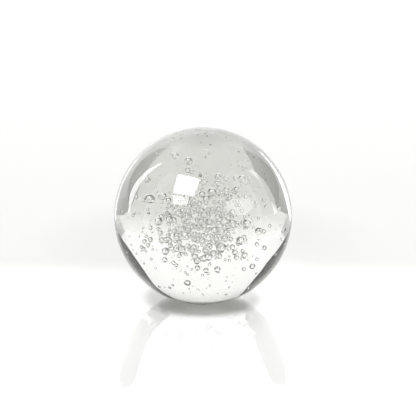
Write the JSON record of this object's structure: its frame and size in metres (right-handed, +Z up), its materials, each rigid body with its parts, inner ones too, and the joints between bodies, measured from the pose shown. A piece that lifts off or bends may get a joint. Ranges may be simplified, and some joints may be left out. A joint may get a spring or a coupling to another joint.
{
  "type": "glass paperweight",
  "caption": "Clear glass ball paperweight with a cloud of trapped bubbles, ground flat underneath so that it stands still.",
  "frame": {"origin": "middle of the ground flat base, on the surface that the ball rests on", "axes": "+Z up through the middle of the ball; the ball is round, so +X and +Y are free: the front faces -Y"},
  "size_m": [0.08, 0.08, 0.0785],
  "materials": {
    "seeded_core_glass": "clear, thick with fine bubbles",
    "inner_clear_glass": "clear",
    "clear_casing_glass": "fire polished, base ground and polished flat"
  },
  "bodies": {
    "root": {"core_gather": "seeded_core_glass", "second_gather": "inner_clear_glass", "third_gather": "inner_clear_glass", "outer_casing": "clear_casing_glass"}
  },
  "joints": []
}
